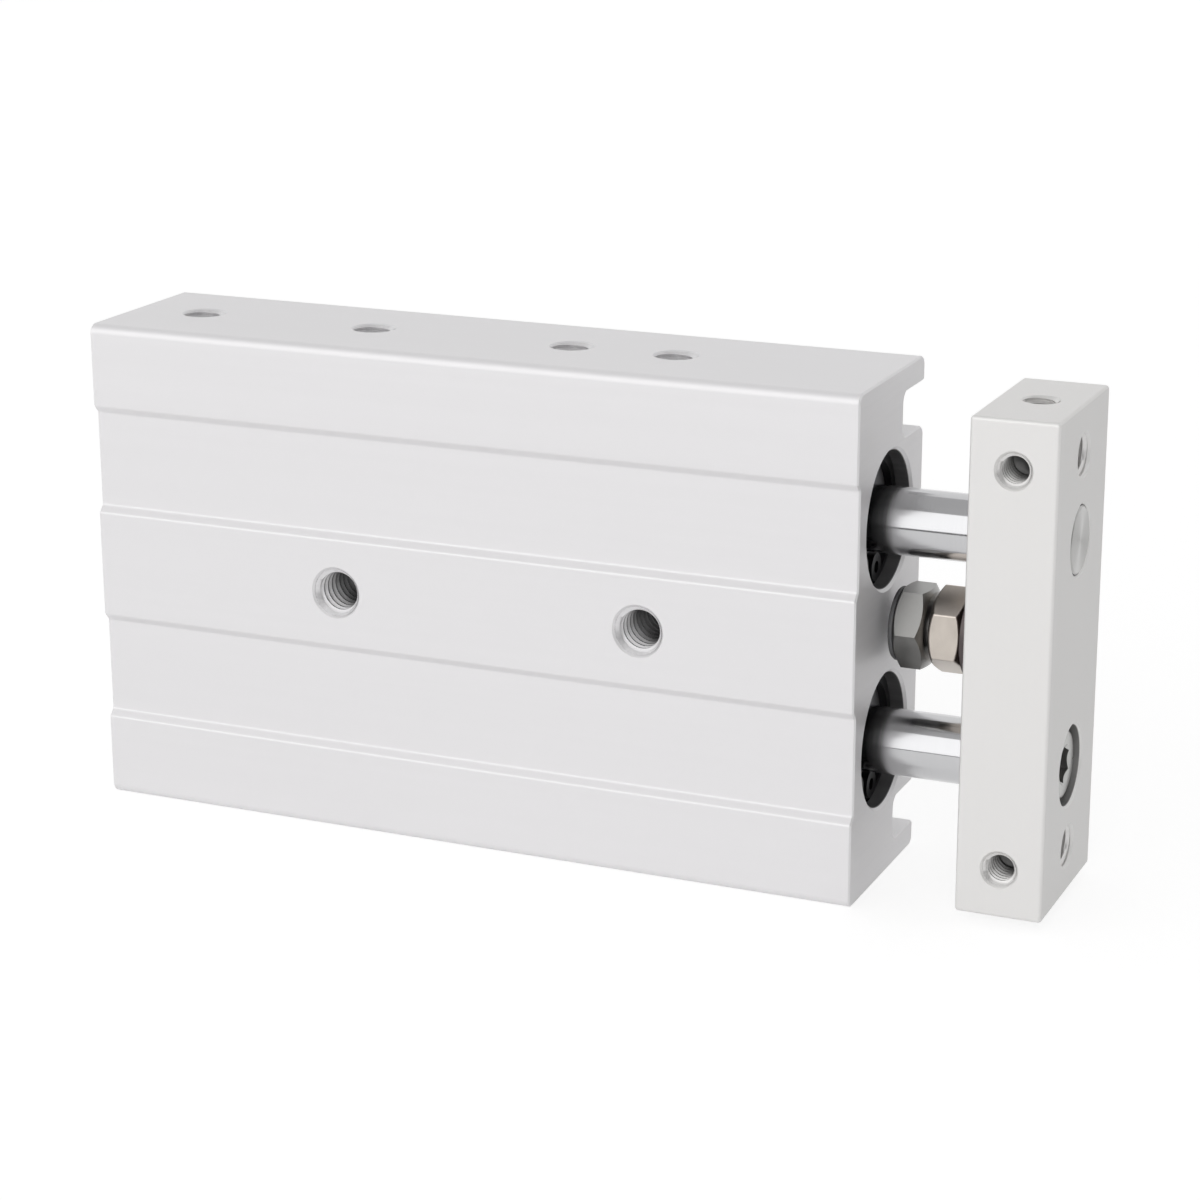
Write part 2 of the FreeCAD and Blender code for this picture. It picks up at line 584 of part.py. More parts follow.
def plate_cap_screw():
    """Socket-head screw that pulls the lower rod into its pilot recess."""
    z = ROD_Z["lower"]
    head_r = CAP_SCREW_HEAD_D / 2
    shank_r = M5_R - THREAD_GAP
    head_end = HEAD_POCKET_X + CAP_SCREW_HEAD_LENGTH
    tip = PLATE_X + PILOT_DEPTH - CAP_SCREW_REACH
    screw = turned([(tip, 0), (tip, shank_r), (HEAD_POCKET_X, shank_r), (HEAD_POCKET_X, head_r),
                    (head_end - CAP_SCREW_EDGE, head_r), (head_end, head_r - CAP_SCREW_EDGE),
                    (head_end, 0)], z)
    socket = hexagon(CAP_SCREW_SOCKET_FLATS, 0, head_end - CAP_SCREW_SOCKET_DEPTH, head_end, z)
    return screw.cut(socket)


def plate_set_screw():
    """Set screw that bears on the upper rod, sunk below the tapped hole that it passes."""
    bottom = ROD_Z["upper"] + ROD_R + SEATED_GAP
    body = Part.makeCylinder(M4_R - THREAD_GAP, SET_SCREW_LENGTH, point(PLATE_MID_X, 0, bottom), ALONG_Z)
    socket_z = bottom + SET_SCREW_LENGTH - SET_SCREW_SOCKET_DEPTH
    return body.cut(upright_socket(SET_SCREW_SOCKET_FLATS, SET_SCREW_SOCKET_DEPTH, PLATE_MID_X, socket_z))


# ---------------------------------------------------------------- bumper bolt
def bumper_bolt():
    """Hexagon-head stop screw: its head takes the rubber bumper's stem, its thread the plate."""
    head = chamfered_hexagon(HEX_FLATS, BOLT_HEAD_TURN, BOLT_HEAD_X, BOLT_HEAD_END_X, BUMPER_Z)
    shank = bar(M6_R, BOLT_HEAD_END_X, PLATE_X + BOLT_THREAD_REACH, BUMPER_Z)
    pocket = bar(BUMPER_STEM_D / 2 + SEATED_GAP, BOLT_HEAD_X,
                 BOLT_HEAD_X + BUMPER_STEM_LENGTH + SEATED_GAP, BUMPER_Z)
    return head.fuse(shank).cut(pocket).removeSplitter()


def bumper_pad():
    stem_end = BOLT_HEAD_X + BUMPER_STEM_LENGTH
    pad_r = BUMPER_D / 2
    return turned([(BUMPER_X, 0), (BUMPER_X, pad_r - BUMPER_EDGE), (BUMPER_X + BUMPER_EDGE, pad_r),
                   (BOLT_HEAD_X, pad_r), (BOLT_HEAD_X, BUMPER_STEM_D / 2),
                   (stem_end, BUMPER_STEM_D / 2), (stem_end, 0)], BUMPER_Z)


def lock_nut():
    nut = chamfered_hexagon(HEX_FLATS, NUT_TURN, NUT_X, NUT_END_X, BUMPER_Z)
    hole_r = M6_R + THREAD_GAP
    return nut.cut([bar(hole_r, NUT_X, NUT_END_X, BUMPER_Z),
                    countersink(hole_r, THREAD_CHAMFER, point(NUT_X, 0, BUMPER_Z), ALONG_X)])


def lock_washer():
    """Spring washer: a square-section ring with one slanted split."""
    length = PLATE_X - NUT_END_X
    ring = tube(WASHER_D / 2, M6_R + THREAD_GAP, NUT_END_X, PLATE_X, BUMPER_Z)
    split = Part.makeBox(3 * length, WASHER_SPLIT, WASHER_D,
                         point(NUT_END_X - length, -WASHER_SPLIT / 2, BUMPER_Z))
    middle = point((NUT_END_X + PLATE_X) / 2, 0, BUMPER_Z)
    split.rotate(middle, ALONG_Z, WASHER_SPLIT_ANGLE)
    split.rotate(middle, ALONG_X, WASHER_TURN)
    return ring.cut(split)


# ---------------------------------------------------------------- export
def save(node, solids):
    """One STEP file per node. Like pieces share a node as separate solids."""
    shape = solids[0] if len(solids) == 1 else Part.makeCompound(solids)
    shape.exportStep(os.path.join("parts", node + ".step"))


def main():
    os.makedirs("parts", exist_ok=True)
    both = list(ROD_Z.values())
    nodes = {"housing": [housing()],
             "rear_retaining_rings": [retaining_ring(REAR_RING_X, z) for z in both],
             "front_retaining_rings": [retaining_ring(FRONT_RING_X, z) for z in both],
             "head_cover_o_rings": [o_ring(head_o_ring_x(), z) for z in both],
             "rod_cover_o_rings": [o_ring(rod_o_ring_x(), z) for z in both],
             "rear_cushions": [rear_cushion(z) for z in both],
             "rod_bushings": [rod_bushing(z) for z in both],
             "rod_seals": [rod_seal(z) for z in both],
             "seal_retainers": [seal_retainer(z) for z in both],
             "port_plugs": [port_plug(x) for x in PORT_XS],
             "piston_seals": [piston_seal(z) for z in both],
             "piston_nuts": [piston_nut(z) for z in both],
             "front_cushions": [front_cushion(z) for z in both],
             "sensor_magnet": [piston_band(ROD_Z["lower"])],
             "wear_ring": [piston_band(ROD_Z["upper"])],
             "piston_rod_upper": [piston_rod(PLATE_END_X, ROD_Z["upper"])],
             "piston_rod_lower": [piston_rod_lower()],
             "end_plate": [end_plate()],
             "plate_cap_screw": [plate_cap_screw()],
             "plate_set_screw": [plate_set_screw()],
             "bumper_bolt": [bumper_bolt()],
             "bumper_pad": [bumper_pad()],
             "lock_nut": [lock_nut()],
             "lock_washer": [lock_washer()]}
    for name, z in ROD_Z.items():
        nodes["head_cover_" + name] = [head_cover(z)]
        nodes["rod_cover_" + name] = [rod_cover(z)]
        nodes["piston_" + name] = [piston(z)]
    for node, solids in nodes.items():
        save(node, solids)


main()
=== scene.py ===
import json
import math

import bmesh
import bpy
from bpy.props import FloatProperty, FloatVectorProperty, IntProperty, PointerProperty
from mathutils import Matrix, Vector


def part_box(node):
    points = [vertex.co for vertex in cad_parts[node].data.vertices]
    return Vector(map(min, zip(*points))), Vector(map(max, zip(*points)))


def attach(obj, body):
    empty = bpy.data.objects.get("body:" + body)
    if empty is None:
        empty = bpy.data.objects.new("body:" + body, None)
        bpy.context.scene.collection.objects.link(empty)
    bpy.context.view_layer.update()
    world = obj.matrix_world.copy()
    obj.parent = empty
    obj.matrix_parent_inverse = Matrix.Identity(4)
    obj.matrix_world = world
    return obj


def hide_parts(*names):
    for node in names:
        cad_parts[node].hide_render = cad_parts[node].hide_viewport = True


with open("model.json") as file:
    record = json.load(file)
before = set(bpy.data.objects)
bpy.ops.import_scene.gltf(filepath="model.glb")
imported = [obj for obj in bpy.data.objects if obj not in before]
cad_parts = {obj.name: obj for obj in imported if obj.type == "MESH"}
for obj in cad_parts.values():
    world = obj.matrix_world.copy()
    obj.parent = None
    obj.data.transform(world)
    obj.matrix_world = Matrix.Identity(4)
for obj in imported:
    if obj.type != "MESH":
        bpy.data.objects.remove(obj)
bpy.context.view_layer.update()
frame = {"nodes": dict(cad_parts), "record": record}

bl_info = {
    "name": "Guided Pneumatic Cylinder",
    "version": (1, 0, 0),
    "blender": (4, 5, 0),
    "location": "View3D > Sidebar > Cylinder",
    "description": "Dresses a twin-rod pneumatic cylinder: finishes, screw threads and fasteners",
    "category": "Object",
}

# Metres. +X runs along the rods towards the end plate, -Y is the banded wide face, +Z is up.
MM = 0.001
AXIS_X = Vector((1, 0, 0))
DOWN = Vector((0, 0, -1))

BOLT_LOW, BOLT_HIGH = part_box("bumper_bolt")
NUT_LOW, NUT_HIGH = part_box("lock_nut")
WASHER_LOW, WASHER_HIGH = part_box("lock_washer")
PAD_LOW, PAD_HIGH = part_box("bumper_pad")
SCREW_LOW, SCREW_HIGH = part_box("plate_cap_screw")
PLATE_LOW, PLATE_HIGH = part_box("end_plate")
SET_SCREW_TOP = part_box("plate_set_screw")[1].z
HOUSING_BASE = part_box("housing")[0].z
# What the record says of each mount, by the mount's name.
MOUNTS = {mount["name"]: mount for mount in frame["record"]["mounts"]}


# ---------------------------------------------------------------- settings a user would change
class CameraSettings(bpy.types.PropertyGroup):
    place: FloatVectorProperty(
        name="Place", description="Where the camera stands", subtype="TRANSLATION", unit="LENGTH",
        size=3, precision=4, default=(0.158308, -0.329971, 0.139381))
    turn: FloatVectorProperty(
        name="Turn", description="How the camera is turned about X, Y and Z", subtype="EULER",
        unit="ROTATION", size=3, default=(1.277153, 0.003010, 0.412446))
    lens: FloatProperty(
        name="Lens", description="Focal length for a 36 mm wide frame", subtype="DISTANCE_CAMERA",
        min=10, default=91.865)


class StudioSettings(bpy.types.PropertyGroup):
    floor_colour: FloatVectorProperty(
        name="Floor", description="Colour of the floor", subtype="COLOR", size=3, min=0, max=1,
        default=(0.8, 0.8, 0.8))
    sky_level: FloatProperty(
        name="Room light", description="Level of the even light from all round", min=0, default=0.55)
    front_level: FloatProperty(
        name="Front softbox", description="Brightness of the front softbox's face", min=0, default=0.68)
    fill_level: FloatProperty(
        name="Front fill", description="Brightness of the fill panel beside the camera", min=0,
        default=1.4)
    back_level: FloatProperty(
        name="Back panel", description="Brightness of the panel behind", min=0, default=0.3)
    side_level: FloatProperty(
        name="Side panel", description="Brightness of the panel beyond the end plate", min=0,
        default=0.1)
    overhead_level: FloatProperty(
        name="Overhead diffuser", description="Brightness of the grey diffuser overhead", min=0,
        default=0.55)


class FinishSettings(bpy.types.PropertyGroup):
    anodised: FloatVectorProperty(
        name="Anodised housing", description="Clear anodised extruded aluminium", subtype="COLOR",
        size=3, min=0, max=1, default=(0.80, 0.79, 0.80))
    anodised_plate: FloatVectorProperty(
        name="Anodised plate", description="Clear anodised milled aluminium", subtype="COLOR",
        size=3, min=0, max=1, default=(0.79, 0.78, 0.77))
    chrome: FloatVectorProperty(
        name="Hard chrome", description="Ground and chromed rod steel", subtype="COLOR",
        size=3, min=0, max=1, default=(0.56, 0.56, 0.57))
    blackened: FloatVectorProperty(
        name="Blackened steel", description="Oil-blackened spring steel", subtype="COLOR",
        size=3, min=0, max=1, default=(0.035, 0.035, 0.037))
    bolt_steel: FloatVectorProperty(
        name="Bolt steel", description="Dark plated bolt steel", subtype="COLOR",
        size=3, min=0, max=1, default=(0.275, 0.272, 0.265))
    nickel: FloatVectorProperty(
        name="Nickel plate", description="Warm nickel plating on the nut", subtype="COLOR",
        size=3, min=0, max=1, default=(0.56, 0.51, 0.46))
    rubber: FloatVectorProperty(
        name="Rubber", description="Black moulded rubber", subtype="COLOR",
        size=3, min=0, max=1, default=(0.025, 0.025, 0.026))
    bronze: FloatVectorProperty(
        name="Bronze", description="Sintered bushing bronze", subtype="COLOR",
        size=3, min=0, max=1, default=(0.55, 0.36, 0.17))


class FastenerSettings(bpy.types.PropertyGroup):
    head_flats: FloatProperty(
        name="Across flats", description="Hexagon size of the bumper bolt and its nut",
        unit="LENGTH", precision=4, default=9.2 * MM)
    head_length: FloatProperty(
        name="Head length", description="Thickness of the bumper bolt's head", unit="LENGTH",
        precision=4, default=3.75 * MM)
    head_turn: FloatProperty(
        name="Head turn", description="Angle that one flat's normal stands above -Y",
        unit="ROTATION", default=math.radians(31.0))
    nut_turn: FloatProperty(
        name="Nut turn", description="Angle that one flat's normal stands above -Y",
        unit="ROTATION", default=math.radians(3.6))
    corner_chamfer: FloatProperty(
        name="Corner chamfer", description="Angle of the cone that turns off a hexagon's corners",
        unit="ROTATION", default=math.radians(30.0))
    edge: FloatProperty(
        name="Edge round", description="Radius on a fastener's machined edges", unit="LENGTH",
        precision=5, default=0.17 * MM)
    sides: IntProperty(
        name="Sides", description="Facets round each turned surface", min=24, default=96)


class ThreadSettings(bpy.types.PropertyGroup):
    depth_share: FloatProperty(
        name="Thread depth", description="Depth of a thread as a share of its pitch", min=0,
        subtype="FACTOR", max=1, default=0.54)
    crest_share: FloatProperty(
        name="Crest", description="Flat of a thread's crest as a share of its pitch", min=0,
        subtype="FACTOR", max=1, default=0.2)
    sides: IntProperty(
        name="Sides", description="Steps in each turn of a thread", min=12, default=48)


def settings(group):
    """The scene's settings of one group: camera, studio, finishes, fasteners or threads."""
    return getattr(bpy.context.scene, "cylinder_" + group)


# ---------------------------------------------------------------- meshes
def on_axis(low, high):
    """Where a piece made about the X axis goes: the middle height of its box."""
    return Vector((0, 0, (low.z + high.z) / 2))


def ring(x, radius, sides):
    """Circle about the X axis, as points from -Y round over the top."""
    points = []
    for index in range(sides):
        angle = 2 * math.pi * index / sides
        points.append(Vector((x, -radius * math.cos(angle), radius * math.sin(angle))))
    return points


def hexagon_reach(angle, flats):
    """How far a hexagon's edge is from its middle at one angle from a flat's middle."""
    step = math.pi / 3
    nearest = (angle + step / 2) % step - step / 2
    return flats / 2 / math.cos(nearest)


def hexagon_ring(x, flats, sides, start=0.0, slope=0.0):
    """Hexagon about the X axis. Points further out than start step back by slope."""
    points = []
    for index in range(sides):
        angle = 2 * math.pi * index / sides
        reach = hexagon_reach(angle, flats)
        back = slope * (reach - start)
        points.append(Vector((x - back, -reach * math.cos(angle), reach * math.sin(angle))))
    return points


def skin(rings, first_cap, last_cap, closed=False):
    """Faces between rings of as many points each. A cap is a fan to the ring's middle."""
    points = [point for loop in rings for point in loop]
    sides = len(rings[0])
    faces = []
    for number in range(len(rings) - 1):
        for index in range(sides):
            after = (index + 1) % sides
            low = number * sides
            faces.append((low + index, low + after, low + sides + after, low + sides + index))
    if closed:
        low = (len(rings) - 1) * sides
        for index in range(sides):
            after = (index + 1) % sides
            faces.append((low + index, low + after, after, index))
    if first_cap:
        points.append(sum(rings[0], Vector()) / sides)
        faces += [((index + 1) % sides, index, len(points) - 1) for index in range(sides)]
    if last_cap:
        low = (len(rings) - 1) * sides
        points.append(sum(rings[-1], Vector()) / sides)
        faces += [(low + index, low + (index + 1) % sides, len(points) - 1) for index in range(sides)]
    return points, faces


def piece(name, parts, place, body, material, depths=()):
    """One object from (points, faces) parts, moved to its place, on its body, in its finish.
    Depths, one for each point, are how far down its hole that point is."""
    points = []
    faces = []
    for part_points, part_faces in parts:
        first = len(points)
        points += [point + place for point in part_points]
        faces += [tuple(first + index for index in face) for face in part_faces]
    mesh = bpy.data.meshes.new(name)
    mesh.from_pydata(points, [], faces)
    mesh.validate()
    mesh.materials.append(material)
    if depths:
        mesh.attributes.new("depth", "FLOAT", "POINT").data.foreach_set("value", depths)
    made = bpy.data.objects.new(name, mesh)
    bpy.context.scene.collection.objects.link(made)
    tidy_normals(mesh)
    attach(made, body)
    return made


def tidy_normals(mesh):
    """Turns every face outwards and shades it smooth."""
    work = bmesh.new()
    work.from_mesh(mesh)
    bmesh.ops.recalc_face_normals(work, faces=work.faces)
    for face in work.faces:
        face.smooth = True
    work.to_mesh(mesh)
    work.free()


def soften(made, width, angle):
    """Rounds every edge that turns by more than the angle."""
    bevel = made.modifiers.new("edges", "BEVEL")
    bevel.width = width
    bevel.segments = 3
    bevel.limit_method = "ANGLE"
    bevel.angle_limit = angle
    bevel.harden_normals = True
    bevel.use_clamp_overlap = True


def sharpen(made, angle):
    """Keeps edges that turn by more than the angle crisp."""
    made.data.set_sharp_from_angle(angle=angle)


def turned(part, angle):
    """A part of points and faces, turned about the X axis from -Y towards the top."""
    points, faces = part
    spin = Matrix.Rotation(-angle, 3, "X")
    return [spin @ point for point in points], faces


# Radius of the flat round face on a hexagon's end, as a share of the size across its flats.
HEXAGON_FACE = 0.45


def hexagon_block(start, end, choice):
    """Rings over a hexagon block, both ends' corners turned off by a shallow cone."""
    flats = choice.head_flats
    face = HEXAGON_FACE * flats
    slope = math.tan(choice.corner_chamfer)
    rings = [ring(start, face, choice.sides)]
    rings.append(hexagon_ring(start, flats, choice.sides, face, -slope))
    rings.append(hexagon_ring(end, flats, choice.sides, face, slope))
    rings.append(ring(end, face, choice.sides))
    return rings


# ---------------------------------------------------------------- screw threads
# Millimetres of pitch for a thread's radius in millimetres.
COARSE_PITCH = {2.0: 0.7, 2.5: 0.8, 3.0: 1.0}
# Half the width of a ridge's foot, as a share of the pitch.
ROOT_SHARE = 0.43
# A ridge runs out over half a pitch, down to these shares of its crest's and its foot's width.
NARROW_CREST = 0.3
NARROW_ROOT = 0.35
# A drill's point, its radius as a share of the thread's, and the share of the point left as its tip.
DRILL_POINT = math.radians(118.0)
DRILL_SHARE = 0.83
DRILL_TIP = 0.02
# How far a hole's lining and a ridge's foot reach into the metal.
LINING = 0.02 * MM
PLATE_COUNTERSINK = 0.3 * MM
# Millimetres, as the mounts' radii are.
SET_SCREW_RADIUS = 2.0


def across(inward):
    """Two directions square to a hole's axis and to each other."""
    side = inward.orthogonal().normalized()
    return side, inward.cross(side)


def hole_lining(mouth, inward, radius, length, blind):
    """Thin lining of a drilled hole, with the drill's point at its end where it is blind."""
    side, up = across(inward)
    sides = settings("threads").sides

    def circle(along, reach):
        angles = [2 * math.pi * index / sides for index in range(sides)]
        return [mouth + inward * along + (side * math.cos(angle) + up * math.sin(angle)) * reach
                for angle in angles]

    inner = radius - LINING / 2
    outer = radius + LINING
    end = length
    outline = [(0, inner), (length, inner)]
    if blind:
        end += LINING
        core = radius * DRILL_SHARE
        point = core / math.tan(DRILL_POINT / 2)
        outline += [(length, core), (length + point * (1 - DRILL_TIP), core * DRILL_TIP),
                    (length + point * (1 + DRILL_TIP), core * DRILL_TIP), (end, core + LINING)]
    outline += [(end, outer), (0, outer)]
    return skin([circle(along, reach) for along, reach in outline], False, False, True)


def thread(mouth, inward, radius, length, pitch, inside):
    """One helical ridge along a hole (inside) or a shank. A 45 degree cone cuts it at a hole's mouth."""
    choice = settings("threads")
    depth = choice.depth_share * pitch
    toward = -1.0 if inside else 1.0
    base = radius if inside else radius - depth
    side, up = across(inward)
    half_root = pitch * ROOT_SHARE
    half_crest = pitch * choice.crest_share / 2
    run_out = pitch / 2
    first = -half_crest if inside else 0.0
    rings = []
    for step in range(int((length - first) / pitch * choice.sides) + 1):
        along = first + pitch * step / choice.sides
        angle = 2 * math.pi * step / choice.sides
        out = side * math.cos(angle) + up * math.sin(angle)
        run_in = 1.0 if inside else along / run_out
        fade = min(1.0, run_in, (length - along) / run_out)
        crest = half_crest * max(fade, NARROW_CREST)
        root = half_root * max(fade, NARROW_ROOT)
        corners = []
        for shift, rise in ((-root, 0.0), (-crest, depth * fade), (crest, depth * fade), (root, 0.0)):
            below = min(max(along + shift, 0.0), length)
            if inside:
                rise = min(rise, below)
            height = (rise - LINING) * toward
            corners.append(mouth + inward * below + out * (base + height))
        rings.append(corners)
    return skin(rings, True, True)


# ---------------------------------------------------------------- finishes
# Just outside the walls of the housing's bores, of the upper rod's hole in the plate and of the pocket of
# the cap screw's head. Nearer the rods than these, the colour is darkened as painted shade.
BORE_WALL = 8.26 * MM
ROD_GAP = 4.15 * MM
SCREW_POCKET = 4.84 * MM
WALL_BLUR = 0.02 * MM
# Darkest and lightest painted shade of the housing's bore walls, and tone of the rods' turned ends.
BORE_SHADE_TONES = ((0.085, 0.084, 0.086), (0.12, 0.118, 0.12))
ROD_END_TONES = ((0.44, 0.437, 0.43), (0.48, 0.477, 0.47))
# Colours of the pieces that lie inside, and of the small ones that nobody would recolour.
TURNED_ALUMINIUM = (0.22, 0.22, 0.23)
PISTON_ALUMINIUM = (0.60, 0.60, 0.60)
SPRING_STEEL = (0.10, 0.085, 0.085)
SCREW_STEEL = (0.44, 0.44, 0.43)
FERRITE = (0.05, 0.05, 0.055)
WEAR_RESIN = (0.55, 0.52, 0.46)
# How much paler the bumper's urethane is than black rubber.
URETHANE_SHADE = 3.4


class Finish:
    """A node material that is built up in steps: tone, gloss, then surface marks."""

    def __init__(self, name, metallic, roughness):
        self.material = bpy.data.materials.new(name)
        self.material.use_nodes = True
        self.tree = self.material.node_tree
        self.shader = self.tree.nodes["Principled BSDF"]
        self.shader.inputs["Metallic"].default_value = metallic
        self.shader.inputs["Roughness"].default_value = roughness
        self.place = self.add("ShaderNodeTexCoord").outputs["Object"]

    def add(self, kind, **values):
        """A new node with its settings."""
        made = self.tree.nodes.new(kind)
        for key, value in values.items():
            setattr(made, key, value)
        return made

    def join(self, start, end):
        """Link one socket to another."""
        self.tree.links.new(start, end)

    def noise(self, stretch, detail=3.0, roughness=0.5):
        """Noise whose features are 1 / stretch metres long on each axis."""
        mapping = self.add("ShaderNodeMapping")
        mapping.inputs["Scale"].default_value = stretch
        self.join(self.place, mapping.inputs["Vector"])
        texture = self.add("ShaderNodeTexNoise")
        texture.inputs["Scale"].default_value = 1.0
        texture.inputs["Detail"].default_value = detail
        texture.inputs["Roughness"].default_value = roughness
        self.join(mapping.outputs["Vector"], texture.inputs["Vector"])
        return texture.outputs["Fac"]

    def span(self, source, low, high, start=0.3, end=0.7):
        """Source from start to end becomes low to high."""
        made = self.add("ShaderNodeMapRange")
        made.inputs["From Min"].default_value = start
        made.inputs["From Max"].default_value = end
        made.inputs["To Min"].default_value = low
        made.inputs["To Max"].default_value = high
        self.join(source, made.inputs["Value"])
        return made.outputs["Result"]

    def blend(self, factor, first, second):
        """Colour between two colours or colour sockets."""
        made = self.add("ShaderNodeMix", data_type="RGBA")
        colours = [socket for socket in made.inputs if socket.type == "RGBA"]
        self.join(factor, made.inputs["Factor"])
        for socket, value in zip(colours, (first, second)):
            if isinstance(value, bpy.types.NodeSocket):
                self.join(value, socket)
            else:
                socket.default_value = (*value, 1.0)
        return [socket for socket in made.outputs if socket.type == "RGBA"][0]

    def tones(self, source, colour, low, high):
        """The colour, from low to high times as bright with the noise."""
        return self.blend(self.span(source, 0.0, 1.0), shade(colour, low), shade(colour, high))

    def mix_value(self, factor, first, second):
        """Number between two numbers or number sockets."""
        made = self.add("ShaderNodeMix", data_type="FLOAT")
        self.join(factor, made.inputs["Factor"])
        for key, value in (("A", first), ("B", second)):
            socket = [item for item in made.inputs if item.name == key and item.type == "VALUE"][0]
            if isinstance(value, bpy.types.NodeSocket):
                self.join(value, socket)
            else:
                socket.default_value = value
        return [socket for socket in made.outputs if socket.type == "VALUE"][0]

    def facing(self, axis, start=0.85, end=0.97):
        """1 where the surface faces along an axis of the model, 0 elsewhere."""
        geometry = self.add("ShaderNodeNewGeometry")
        split = self.add("ShaderNodeSeparateXYZ")
        self.join(geometry.outputs["Normal"], split.inputs["Vector"])
        size = self.add("ShaderNodeMath", operation="ABSOLUTE")
        self.join(split.outputs[axis], size.inputs[0])
        return self.span(size.outputs["Value"], 0.0, 1.0, start, end)

    def depth(self):
        """Metres down the hole that a point is in."""
        return self.add("ShaderNodeAttribute", attribute_name="depth").outputs["Fac"]

    def least(self, first, second):
        """The smaller of two number sockets."""
        made = self.add("ShaderNodeMath", operation="MINIMUM")
        self.join(first, made.inputs[0])
        self.join(second, made.inputs[1])
        return made.outputs["Value"]

    def colour(self, source):
        """Base colour from a socket."""
        self.join(source, self.shader.inputs["Base Color"])

    def gloss(self, source):
        """Roughness from a socket."""
        self.join(source, self.shader.inputs["Roughness"])

    def marks(self, source, depth):
        """Bump of a depth in metres."""
        bump = self.add("ShaderNodeBump")
        bump.inputs["Strength"].default_value = 1.0
        bump.inputs["Distance"].default_value = depth
        self.join(source, bump.inputs["Height"])
        self.join(bump.outputs["Normal"], self.shader.inputs["Normal"])


def shade(colour, amount):
    """The colour, so many times as bright."""
    return tuple(min(max(part * amount, 0.0), 1.0) for part in colour)


def extruded_anodised(name, colour):
    """Matt-etched extrusion: die lines along X, etch grain, sawn and faced ends, bore walls darkened as
    painted shade.
    """
    finish = Finish(name, 0.30, 0.42)
    lines = finish.noise((9, 900, 900), 4.0, 0.6)
    cloud = finish.noise((45, 60, 60), 2.0)
    grain = finish.noise((3800, 3800, 3800), 2.0)
    faced = finish.noise((60, 60, 1400), 3.0)
    end = finish.facing("X")
    side_tone = finish.tones(lines, colour, 0.993, 1.006)
    side_tone = finish.blend(finish.span(cloud, 0.0, 0.5), side_tone, shade(colour, 0.993))
    end_tone = finish.tones(faced, colour, 0.93, 0.97)
    outside = finish.blend(end, side_tone, end_tone)
    # Painted shade: inside the bores the colour drops to a dark grey.
    bore_shade = finish.blend(finish.span(faced, 0.0, 1.0), *BORE_SHADE_TONES)
    finish.colour(finish.blend(near_rods(finish, BORE_WALL, BORE_WALL), outside, bore_shade))
    finish.gloss(finish.mix_value(end, finish.span(lines, 0.38, 0.46), finish.span(faced, 0.40, 0.50)))
    side_relief = finish.mix_value(finish.span(cloud, 0.35, 0.65), lines, grain)
    finish.marks(finish.mix_value(end, side_relief, faced), 0.003 * MM)
    return finish.material


def near_rods(finish, upper, lower):
    """1 nearer to a rod's axis than that rod's radius here, 0 further out: the mask of the painted shade
    in bores and holes.
    """
    split = finish.add("ShaderNodeSeparateXYZ")
    finish.join(finish.place, split.inputs["Vector"])
    flat = finish.add("ShaderNodeCombineXYZ")
    finish.join(split.outputs["Y"], flat.inputs["Y"])
    finish.join(split.outputs["Z"], flat.inputs["Z"])
    gaps = []
    for rod, radius in (("piston_rod_upper", upper), ("piston_rod_lower", lower)):
        reach = finish.add("ShaderNodeVectorMath", operation="DISTANCE")
        finish.join(flat.outputs["Vector"], reach.inputs[0])
        reach.inputs[1].default_value = on_axis(*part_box(rod))
        gap = finish.add("ShaderNodeMath", operation="SUBTRACT")
        finish.join(reach.outputs["Value"], gap.inputs[0])
        gap.inputs[1].default_value = radius
        gaps.append(gap.outputs["Value"])
    return finish.span(finish.least(*gaps), 1.0, 0.0, -WALL_BLUR, WALL_BLUR)


def milled_anodised(name, colour):
    """Milled and blasted aluminium: fine even grain over faint cutter lanes, painted shade in the upper
    rod's hole and the screw pocket.
    """
    finish = Finish(name, 0.30, 0.42)
    grain = finish.noise((3200, 3200, 3200), 3.0)
    lanes = finish.noise((1100, 300, 40), 3.0)
    side_tone = finish.tones(lanes, colour, 0.998, 1.002)
    end_tone = finish.tones(grain, colour, 0.88, 0.90)
    outside = finish.blend(finish.facing("X"), side_tone, end_tone)
    # Painted shade: the upper rod's hole and the cap screw's pocket drop to 0.3 of the colour.
    finish.colour(finish.blend(near_rods(finish, ROD_GAP, SCREW_POCKET), outside, shade(colour, 0.3)))
    finish.gloss(finish.span(grain, 0.38, 0.47))
    finish.marks(grain, 0.003 * MM)
    return finish.material


def ground_chrome(name, colour):
    """Hard chrome over a ground rod: hair-fine rings round the rod, turned end face."""
    finish = Finish(name, 1.0, 0.17)
    # The rings spread reflections along the rod and keep them crisp round it.
    finish.shader.inputs["Anisotropic"].default_value = 0.95
    finish.shader.inputs["Anisotropic Rotation"].default_value = 0.25
    around = finish.add("ShaderNodeTangent", direction_type="RADIAL", axis="X")
    finish.join(around.outputs["Tangent"], finish.shader.inputs["Tangent"])
    rings = finish.noise((5200, 90, 90), 3.0)
    end = finish.facing("X", 0.4, 0.6)
    turned = finish.noise((300, 1500, 1500), 2.0)
    side_tone = finish.tones(rings, colour, 0.97, 1.0)
    end_tone = finish.blend(finish.span(turned, 0.0, 1.0), *ROD_END_TONES)
    finish.colour(finish.blend(end, side_tone, end_tone))
    finish.gloss(finish.mix_value(end, finish.span(rings, 0.12, 0.165), finish.span(turned, 0.32, 0.42)))
    finish.marks(rings, 0.0006 * MM)
    return finish.material


